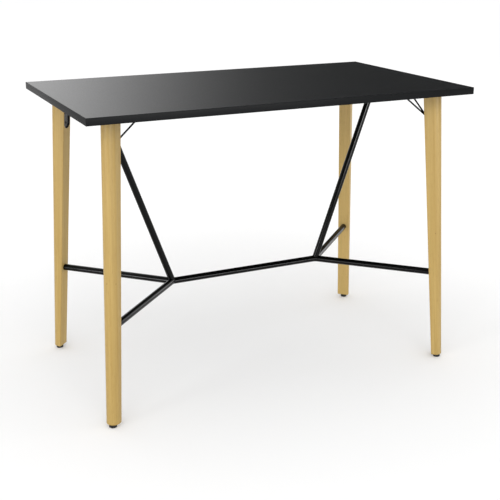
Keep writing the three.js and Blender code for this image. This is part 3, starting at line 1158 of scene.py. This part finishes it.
@dataclass
class FootRail:
    """Welded tubes: a long rail, four arms to the legs and two struts up to the top."""

    leg: LegShape
    radius: float
    height: float
    node_x: float
    strut_head_x: float
    wall: float = 2 * MM
    socket_depth: float = 14 * MM
    bead: float = 1.0 * MM
    bead_spread: float = 0.04
    bead_sweep: float = math.radians(206)
    plate_ease: float = 0.7 * MM
    plate_corner: float = 10 * MM
    plate_corner_steps: int = 8
    screw_spread: float = 42 * MM
    # Size of the cutter that cuts a strut level under its plate
    level_cut: tuple[float, float, float] = (300 * MM, 300 * MM, 100 * MM)
    # In radii: how far a tube runs past its cuts, and how far the cutters that cope a strut reach
    overrun: float = 2.0
    cope_reach: float = 6.0

    @classmethod
    def from_frame(cls, leg: LegShape) -> "FootRail":
        """Read the tubes' size and places from the frame.

        Args:
            leg: The leg's outline.

        Returns:
            The foot rail. Its arms run on the diagonals through the feet.
        """
        low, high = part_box("long_rail")
        plate_low, plate_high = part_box("strut_plate_right")
        foot = Corner.BACK_RIGHT.frame.translation
        return cls(leg, (high.z - low.z) / 2, (high.z + low.z) / 2, foot.x - foot.y,
                   (plate_low.x + plate_high.x) / 2)

    def node(self, end: End) -> Vector:
        """Point where the tubes of one end meet."""
        return Vector((end.side_x * self.node_x, 0, self.height))

    def ways(self, end: End) -> dict[str, Vector]:
        """Directions of the tubes that leave a node.

        Args:
            end: Which node.

        Returns:
            The rail's, the arms' and the strut's directions.
        """
        side = end.side_x
        head = Vector((side * self.strut_head_x, 0, self.leg.head))
        return {
            "rail": Vector((-side, 0, 0)),
            "front": Vector((side, -1, 0)).normalized(),
            "back": Vector((side, 1, 0)).normalized(),
            "strut": (head - self.node(end)).normalized(),
        }

    def build(self) -> None:
        """Make the tubes, their welds and the strut plates."""
        add_piece(self.rail(), "long_rail_tube", POWDER_COAT, STILL_BODY, "long_rail")
        for corner in Corner:
            add_piece(self.arm(corner), f"arm_tube_{corner.label}", POWDER_COAT, STILL_BODY,
                      f"arm_{corner.label}")
        for end in End:
            name = end.label
            add_piece(self.strut(end), f"strut_tube_{name}", POWDER_COAT, STILL_BODY, f"strut_{name}")
            add_piece(self.weld(end), f"weld_{name}", POWDER_COAT, STILL_BODY)
            add_piece(self.plate(end), f"steel_strut_plate_{name}", POWDER_COAT, STILL_BODY,
                      f"strut_plate_{name}")
            for number, seat in enumerate(self.screw_seats(end), start=1):
                add_piece(PANEL_SCREW.build(seat), f"strut_wood_screw_{name}_{number}", ZINC, STILL_BODY,
                          f"strut_screw_{name}_{number}")

    def pipe(self, start: Vector, end: Vector) -> BMesh:
        """Hollow tube between two points.

        Args:
            start: Middle of one end.
            end: Middle of the other end.

        Returns:
            The tube, closed round its wall.
        """
        bm = bmesh.new()
        for radius in (self.radius, self.radius - self.wall):
            bmesh.ops.create_circle(bm, cap_ends=False, segments=ROUND_STEPS, radius=radius,
                                    matrix=aim(start, end))
        bmesh.ops.bridge_loops(bm, edges=bm.edges[:])
        raised(bm, end - start)
        return bm

    @staticmethod
    def mitred(bm: BMesh, node: Vector, way: Vector, others: Iterable[Vector]) -> BMesh:
        """Cut a tube's end where it meets its neighbours at a node, and close its wall.

        Args:
            bm: A hollow tube that runs past the node.
            node: Where the tubes' middle lines meet.
            way: The tube's own direction from the node.
            others: Its neighbours' directions.

        Returns:
            The same mesh.
        """
        for other in others:
            outwards = (other - way).normalized()
            bmesh.ops.bisect_plane(bm, geom=bm.verts[:] + bm.edges[:] + bm.faces[:], dist=WELD,
                                   plane_co=node - outwards * GAP / 2, plane_no=outwards, clear_outer=True)
        bmesh.ops.bridge_loops(bm, edges=[e for e in bm.edges if e.is_boundary])
        return bm

    def rail(self) -> BMesh:
        """Make the long rail, pointed where it meets the arms.

        Returns:
            The rail.
        """
        past = Vector((self.overrun * self.radius, 0, 0))
        bm = self.pipe(self.node(End.LEFT) - past, self.node(End.RIGHT) + past)
        for end in End:
            ways = self.ways(end)
            self.mitred(bm, self.node(end), ways["rail"], (ways["front"], ways["back"]))
        return bm

    def arm(self, corner: Corner) -> BMesh:
        """Make the arm from a node into one leg.

        Args:
            corner: The leg's corner.

        Returns:
            The arm.
        """
        end = End.LEFT if corner.side_x < 0 else End.RIGHT
        ways = self.ways(end)
        own, other = ("front", "back") if corner.side_y < 0 else ("back", "front")
        inside = self.leg.face(self.height) + self.socket_depth - GAP
        tip = corner.frame @ Vector((inside, 0, self.height))
        bm = self.pipe(self.node(end) - self.overrun * self.radius * ways[own], tip)
        return self.mitred(bm, self.node(end), ways[own], (ways["rail"], ways[other]))

    def strut(self, end: End) -> BMesh:
        """Make the strut, fitted over the tubes at its node and cut level under its plate.

        Args:
            end: Which end of the rail.

        Returns:
            The strut.
        """
        node = self.node(end)
        ways = self.ways(end)
        head = Vector((end.side_x * self.strut_head_x, 0, self.leg.head))
        bm = self.pipe(node, head + ways["strut"] * self.overrun * self.radius)
        tools = [rod(node, node + ways[tube] * self.cope_reach * self.radius, self.radius + GAP)
                 for tube in ("rail", "front", "back")]
        tools.append(block(Vector(self.level_cut), head + UP * self.level_cut[2] / 2))
        return carve(bm, tools, Join.CUT)

    def weld(self, end: End) -> BMesh:
        """Make the weld of a node: a bead in the valley between each two tubes.

        Beads laid by hand differ a little, and beads of one size would touch in doubled edges.

        Args:
            end: Which end of the rail.

        Returns:
            The six beads, fused into one.
        """
        beads = []
        for number, pair in enumerate(combinations(self.ways(end).values(), 2)):
            radius = self.bead * (1 + self.bead_spread * number)
            beads.append(self.valley(self.node(end), *pair, radius))
        return carve(beads[0], beads[1:], Join.FUSE)

    def valley(self, node: Vector, first: Vector, second: Vector, bead: float) -> BMesh:
        """Make the bead in the valley between two tubes that leave a node.

        Two tubes of one size meet on half an ellipse, in the plane that halves the angle between them. The
        bead runs a little past that half at both ends, where the other tubes and beads hide it.

        Args:
            node: Where the tubes' middle lines meet.
            first: Direction of one tube.
            second: Direction of the other tube.
            bead: The bead's radius.

        Returns:
            The bead, closed at its ends.
        """
        between = (first + second).normalized()
        across = first.cross(second).normalized()
        long_half = between / math.sin(first.angle(second) / 2)
        start = Matrix.Rotation(-self.bead_sweep / 2, 4, "Z") @ Matrix.Translation((self.radius, 0, 0))
        bm = bmesh.new()
        bmesh.ops.create_circle(bm, cap_ends=False, segments=ROD_STEPS, radius=bead,
                                matrix=start @ Matrix.Rotation(math.pi / 2, 4, "X"))
        bmesh.ops.spin(bm, geom=bm.edges[:], cent=(0, 0, 0), axis=UP, dvec=(0, 0, 0), angle=self.bead_sweep,
                       steps=ROUND_STEPS, use_merge=False, use_duplicate=False)
        turn = Matrix((long_half, across, between.cross(across))).transposed().to_4x4()
        return tidy(placed(capped(bm), Matrix.Translation(node) @ turn))

    def plate(self, end: End) -> BMesh:
        """Make the plate that screws a strut to the top.

        Args:
            end: Which strut.

        Returns:
            The plate.
        """
        low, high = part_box(f"strut_plate_{end.label}")
        bm = block(high - low, (low + high) / 2)
        upright = [e for e in bm.edges if not is_level(e)]
        bevelled(bm, upright, self.plate_corner, self.plate_corner_steps)
        eased(bm, self.plate_ease)
        return carve(bm, screw_holes(self.screw_seats(end)), Join.CUT)

    def screw_seats(self, end: End) -> list[Matrix]:
        """Find the places of the screws' seats under a strut's plate.

        Args:
            end: Which strut.

        Returns:
            The inner screw's place, then the outer one's.
        """
        places = [self.strut_head_x + step for step in (-self.screw_spread, self.screw_spread)]
        return [Matrix.Translation((end.side_x * x, 0, self.leg.head - GAP)) for x in places]


# Levelling feet


@dataclass
class LevellingFoot:
    """Nylon pad that swivels on a threaded stud, and the insert in the leg."""

    corner: Corner
    leg: LegShape
    pad_radius: float = 13 * MM
    pad_height: float = 8 * MM
    pad_floor: float = 2.5 * MM
    pad_round: float = 1.8 * MM
    pad_round_steps: int = 4
    pin_radius: float = 5 * MM
    collar_width: float = 13 * MM
    collar_height: float = 4.4 * MM
    stud_radius: float = 4 * MM
    stud_length: float = 28 * MM
    pitch: float = 1.25 * MM
    thread_depth: float = 0.7 * MM
    crest: tuple[float, float] = (0.42, 0.58)
    turn_steps: int = 18
    # Turns of thread that are wound beyond the stud's ends: in all, and at its lower end
    spare_turns: int = 2
    turns_below: float = 1.5
    chamfer: float = 0.5 * MM
    insert_wall: float = 2.7 * MM
    insert_length: float = 22 * MM

    @property
    def insert_radius(self) -> float:
        """Outer radius of the insert."""
        return self.stud_radius + GAP + self.insert_wall

    def build(self) -> None:
        """Make the foot's three pieces."""
        name = self.corner.label
        under = Matrix.Translation(self.corner.frame.translation)
        pieces = [(self.pad(), "nylon_pad", NYLON, f"pad_{name}", "glide_pad"),
                  (self.stud(), "threaded_stud", ZINC, f"stud_{name}", "glide_stud"),
                  (self.insert(), "threaded_insert", ZINC, STILL_BODY, "glide_insert")]
        for bm, piece, finish, body, node in pieces:
            add_piece(placed(bm, under), f"{piece}_{name}", finish, body, f"{node}_{name}")

    def pad(self) -> BMesh:
        """Make the pad with its socket for the stud's pin.

        Returns:
            The pad, standing on the floor at the origin.
        """
        socket = self.pin_radius + GAP
        bm = spun([(0, 0), (self.pad_radius, 0), (self.pad_radius, self.pad_height),
                   (socket, self.pad_height), (socket, self.pad_floor), (0, self.pad_floor)])
        rims = [e for e in bm.edges if is_level(e)
                and all(v.co.xy.length > self.pad_radius - WELD for v in e.verts)]
        return bevelled(bm, rims, self.pad_round, self.pad_round_steps)

    def stud(self) -> BMesh:
        """Make the stud: pin, hexagon collar and right-hand thread.

        Returns:
            The stud, on the origin's upright.
        """
        collar = self.pad_height + GAP
        shoulder = collar + self.collar_height
        inside = collar + self.collar_height / 2
        tip = self.pad_floor + GAP
        pin = spun([(0, tip), (self.pin_radius, tip), (self.pin_radius, inside), (0, inside)])
        hexagon = rod(collar * UP, shoulder * UP, self.collar_width / math.sqrt(3), 6)
        bevelled(hexagon, [e for e in hexagon.edges if is_level(e)], self.chamfer, 1)
        core = carve(hexagon, [pin], Join.FUSE)
        return carve(core, [self.thread(inside, shoulder + self.stud_length)], Join.FUSE)

    def thread(self, low: float, high: float) -> BMesh:
        """Make a threaded bar between two heights. It is wound past both and then cut.

        Args:
            low: Height of its lower end.
            high: Height of its upper end.

        Returns:
            The bar, closed at both ends.
        """
        turns = math.ceil((high - low) / self.pitch) + self.spare_turns
        root = self.stud_radius - self.thread_depth
        flank = [(root, 0.0), *((self.stud_radius, share) for share in self.crest), (root, 1.0)]
        bm = bmesh.new()
        start = low - self.turns_below * self.pitch
        points = [bm.verts.new((radius, 0, start + share * self.pitch)) for radius, share in flank]
        edges = [bm.edges.new(pair) for pair in zip(points, points[1:])]
        bmesh.ops.spin(bm, geom=points + edges, cent=(0, 0, 0), axis=UP,
                       dvec=(0, 0, self.pitch / self.turn_steps), angle=math.tau * turns,
                       steps=self.turn_steps * turns, use_merge=False, use_duplicate=False)
        bmesh.ops.remove_doubles(bm, verts=bm.verts, dist=WELD)
        for height, way in ((low, -UP), (high, UP)):
            trimmed(bm, height * UP, way)
        return bm

    def insert(self) -> BMesh:
        """Make the insert, flush with the leg's end.

        Returns:
            The insert, on the origin's upright.
        """
        bore = self.stud_radius + GAP
        wall = self.insert_radius
        low = self.leg.foot
        high = low + self.insert_length
        bm = spun([(bore, low), (wall, low), (wall, high), (bore, high), (bore, low)], TURNED_STEPS)
        return eased(bm, self.chamfer, 1)


# Studio


class Role(Enum):
    """What a lamp does. The value is how far from the table it hangs.

    A fill lamp lights the matt side of a surface and a sheen lamp shows only in its gloss, as a studio sets
    them apart with scrims and polarising film. They hang at two distances, so that none lies in another.
    """

    FILL = 9.0
    SHEEN = 9.2


def direction(azimuth: float, elevation: float) -> Vector:
    """Find the direction in which something stands from the table.

    Args:
        azimuth: Angle round the table from +X, in degrees.
        elevation: Angle up from the floor, in degrees.

    Returns:
        The direction as a unit vector.
    """
    turn = math.radians(azimuth)
    rise = math.radians(elevation)
    return Vector((math.cos(turn) * math.cos(rise), math.sin(turn) * math.cos(rise), math.sin(rise)))


@dataclass(frozen=True)
class Softbox:
    """Rectangular soft lamp that looks at the table. Its angles are in degrees and its sizes in metres."""

    name: str
    role: Role
    azimuth: float
    elevation: float
    width: float
    height: float
    radiance: float
    target: tuple[float, float, float] = (0.0, 0.0, 0.4)
    # Watts for each square metre of an area lamp that shows a radiance of 1
    watts: float = 4.0

    def build(self) -> None:
        """Hang the lamp and aim it."""
        away = direction(self.azimuth, self.elevation)
        lamp = bpy.data.lights.new(self.name, "AREA")
        lamp.shape = "RECTANGLE"
        lamp.size = self.width
        lamp.size_y = self.height
        lamp.energy = self.watts * self.width * self.height * self.radiance
        holder = bpy.data.objects.new(self.name, lamp)
        holder.location = Vector(self.target) + away * self.role.value
        holder.rotation_euler = away.to_track_quat("Z", "Y").to_euler()
        holder.visible_camera = False
        holder.visible_diffuse = self.role is Role.FILL
        holder.visible_glossy = self.role is Role.SHEEN
        bpy.context.scene.collection.objects.link(holder)
        LOG.info("%s hung at %s", self.name, tuple(round(v, 2) for v in holder.location))


@dataclass
class Studio:
    """Pale floor, white surround, a graded card round it, soft lamps and the camera."""

    floor_size: float = 160.0
    floor_colour: str = "#f4f4f4"
    # Painted light: the floor glows a little near the table and up to white further out, round a point in
    # front of it, so the table's shadow fades sooner behind it
    floor_painted_glow: float = 0.06
    painted_glow_middle: tuple[float, float, float] = (-0.5, -1.1, 0.0)
    painted_glow_start: float = 1.65
    painted_glow_end: float = 3.5
    sky_fill: float = 0.9
    card_radius: float = 20.0
    card_low: float = 1.2
    card_high: float = 26.0
    card_sides: int = 96
    # Degrees by which the card's pattern is turned, so that its seam lies where the card is dark
    card_turn: float = 90.0
    azimuth: float = -115.175
    elevation: float = 18.555
    aim_at: tuple[float, float, float] = (0.0035, -0.0283, 0.4281)
    distance: float = 3.5051
    lens: float = 66.97
    sensor: float = 36.0
    sight: float = 640.0

    LAMPS = (
        Softbox("left_softbox", Role.FILL, 199, 11, 1.8, 2.6, 5.4),
        Softbox("front_softbox", Role.FILL, -113, 33, 9.0, 4.0, 1.85),
        Softbox("right_softbox", Role.FILL, 16, 5, 2.0, 1.8, 3.6),
        Softbox("left_strip", Role.SHEEN, 199, 5, 1.8, 1.6, 20.0),
        Softbox("front_left_strip", Role.SHEEN, 214, 5, 1.8, 1.6, 9.0),
        Softbox("front_strip", Role.SHEEN, -80, 4.5, 7.0, 1.2, 18.0),
        Softbox("right_strip", Role.SHEEN, 16, 5, 2.0, 1.8, 3.8),
    )

    def build(self) -> None:
        """Set up floor, card, world, lamps and camera."""
        self.add_floor()
        self.add_card()
        self.set_world()
        for lamp in self.LAMPS:
            lamp.build()
        self.add_camera()
        bpy.context.scene.view_settings.view_transform = "Standard"

    @staticmethod
    def seen_directly(tree: NodeTree) -> NodeSocket:
        """Value that is 1 for rays from the camera, from gloss and through glass.

        Args:
            tree: The nodes that need it.

        Returns:
            The socket that gives it.
        """
        path = add_node(tree, "LightPath").outputs
        mirror = add_node(tree, "Math", {"operation": "MAXIMUM"}, {
            0: path["Is Glossy Ray"], 1: path["Is Transmission Ray"]})
        both = add_node(tree, "Math", {"operation": "MAXIMUM"}, {
            0: path["Is Camera Ray"], 1: mirror.outputs[0]})
        return both.outputs[0]

    def add_floor(self) -> None:
        """Lay the floor: pale, matt, keeping the shadow under the table, and lifted to white behind it by
        painted light.
        """
        bm = bmesh.new()
        bmesh.ops.create_grid(bm, x_segments=1, y_segments=1, size=self.floor_size / 2)
        floor = self.stage_object("floor", bm)
        tree = self.bare_material(floor, "pale_floor")
        matt = add_node(tree, "BsdfDiffuse", {}, {"Color": linear(self.floor_colour)})
        place = add_node(tree, "TexCoord").outputs["Object"]
        away = add_node(tree, "VectorMath", {"operation": "DISTANCE"}, {0: place, 1: self.painted_glow_middle})
        # What the lit floor lacks of white, made up by the painted glow far from the table
        full_painted_glow = 1 - self.sky_fill * linear(self.floor_colour)[0]
        level = spread(tree, away.outputs["Value"], (self.painted_glow_start, self.painted_glow_end),
                       (self.floor_painted_glow, full_painted_glow), soft=True)
        painted_glow_strength = add_node(tree, "Math", {"operation": "MULTIPLY"}, {0: self.seen_directly(tree), 1: level})
        glow = add_node(tree, "Emission", {}, {"Strength": painted_glow_strength.outputs[0]})
        both = add_node(tree, "AddShader", {}, {0: matt.outputs[0], 1: glow.outputs[0]})
        add_node(tree, "OutputMaterial", {}, {"Surface": both.outputs[0]})

    def add_card(self) -> None:
        """Stand a graded card round the set, which shows only in gloss and gives the top its sheen."""
        bm = bmesh.new()
        ring = bmesh.ops.create_circle(bm, cap_ends=False, segments=self.card_sides, radius=self.card_radius,
                                       matrix=Matrix.Translation((0, 0, self.card_low)))
        edges = list({e for v in ring["verts"] for e in v.link_edges})
        made = bmesh.ops.extrude_edge_only(bm, edges=edges)["geom"]
        bmesh.ops.translate(bm, verts=[v for v in made if isinstance(v, BMVert)],
                            vec=(0, 0, self.card_high - self.card_low))
        card = self.stage_object("graded_card", bm)
        card.visible_camera = False
        card.visible_diffuse = False
        card.visible_shadow = False
        tree = self.bare_material(card, "graded_card")
        place = add_node(tree, "TexCoord").outputs["Object"]
        turned = add_node(tree, "Mapping", {}, {
            "Vector": place, "Rotation": (0, 0, -math.radians(self.card_turn))})
        sweep = add_node(tree, "TexGradient", {"gradient_type": "RADIAL"}, {
            "Vector": turned.outputs["Vector"]})
        ramp = add_node(tree, "ValToRGB", {}, {"Fac": sweep.outputs["Fac"]})
        stops = [(self.at_angle(angle), (level, level, level, 1)) for angle, level in self.card_levels()]
        set_ramp(ramp, stops)
        glow = add_node(tree, "Emission", {}, {"Color": ramp.outputs["Color"]})
        add_node(tree, "OutputMaterial", {}, {"Surface": glow.outputs[0]})

    @staticmethod
    def card_levels() -> list[tuple[float, float]]:
        """Give the brightness of the graded card round the table.

        Returns:
            Angles from +X in degrees, each with its brightness.
        """
        return [(-30, 0.0), (-15, 0.9), (5, 2.5), (16, 2.5), (24, 0.8), (34, 0.0), (57, 0.0), (61, 0.01),
                (65, 0.06), (68, 0.22), (72, 0.62), (75, 1.08), (78, 1.84), (83, 2.3), (95, 1.2), (150, 1.0),
                (195, 0.6), (225, 0.0)]

    def at_angle(self, angle: float) -> float:
        """Place on the card's ramp of an angle round the table, in degrees."""
        return (angle - self.card_turn + 180) % 360 / 360

    @staticmethod
    def stage_object(name: str, bm: BMesh) -> Object:
        """Make an object of the stage.

        Args:
            name: Its name.
            bm: Its mesh. It is used up.

        Returns:
            The new object.
        """
        mesh = bpy.data.meshes.new(name)
        bm.to_mesh(mesh)
        bm.free()
        made = bpy.data.objects.new(name, mesh)
        bpy.context.scene.collection.objects.link(made)
        return made

    @staticmethod
    def bare_material(piece: Object, name: str) -> NodeTree:
        """Give an object of the stage a material without nodes.

        Args:
            piece: The object.
            name: The material's name.

        Returns:
            The material's empty node tree.
        """
        material = bpy.data.materials.new(name)
        material.use_nodes = True
        material.node_tree.nodes.clear()
        piece.data.materials.append(material)
        return material.node_tree

    def set_world(self) -> None:
        """Surround the table with white, which lights it a little less than it shows."""
        world = bpy.data.worlds.new("white_surround")
        world.use_nodes = True
        bpy.context.scene.world = world
        tree = world.node_tree
        tree.nodes.clear()
        fill = add_node(tree, "Background", {}, {"Color": (1, 1, 1, 1), "Strength": self.sky_fill})
        seen = add_node(tree, "Background", {}, {"Color": (1, 1, 1, 1), "Strength": 1.0})
        mix = add_node(tree, "MixShader", {}, {
            0: self.seen_directly(tree), 1: fill.outputs[0], 2: seen.outputs[0]})
        add_node(tree, "OutputWorld", {}, {"Surface": mix.outputs[0]})

    def add_camera(self) -> None:
        """Stand the camera at the photograph's viewpoint."""
        back = direction(self.azimuth, self.elevation)
        data = bpy.data.cameras.new("photo_camera")
        data.lens = self.lens
        data.sensor_width = self.sensor
        data.clip_end = self.sight
        camera = bpy.data.objects.new("photo_camera", data)
        camera.location = Vector(self.aim_at) + back * self.distance
        camera.rotation_euler = (-back).to_track_quat("-Z", "Y").to_euler()
        bpy.context.scene.collection.objects.link(camera)
        bpy.context.scene.camera = camera


def main() -> None:
    """Build the studio and the table, sub-assembly by sub-assembly."""
    logging.basicConfig(level=logging.INFO, format="%(message)s")
    Studio().build()
    shape = LegShape.from_frame()
    tab = TabShape(shape)
    rail = FootRail.from_frame(shape)
    plate_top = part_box("corner_plate_front_left")[1].z
    top = TableTop()
    top.build()
    top.dress()
    rail.build()
    for corner in Corner:
        foot = LevellingFoot(corner, shape)
        Leg(corner, shape, tab, rail, foot).build()
        CornerFitting(corner, shape, tab, plate_top).build()
        foot.build()


if __name__ == "__main__":
    main()
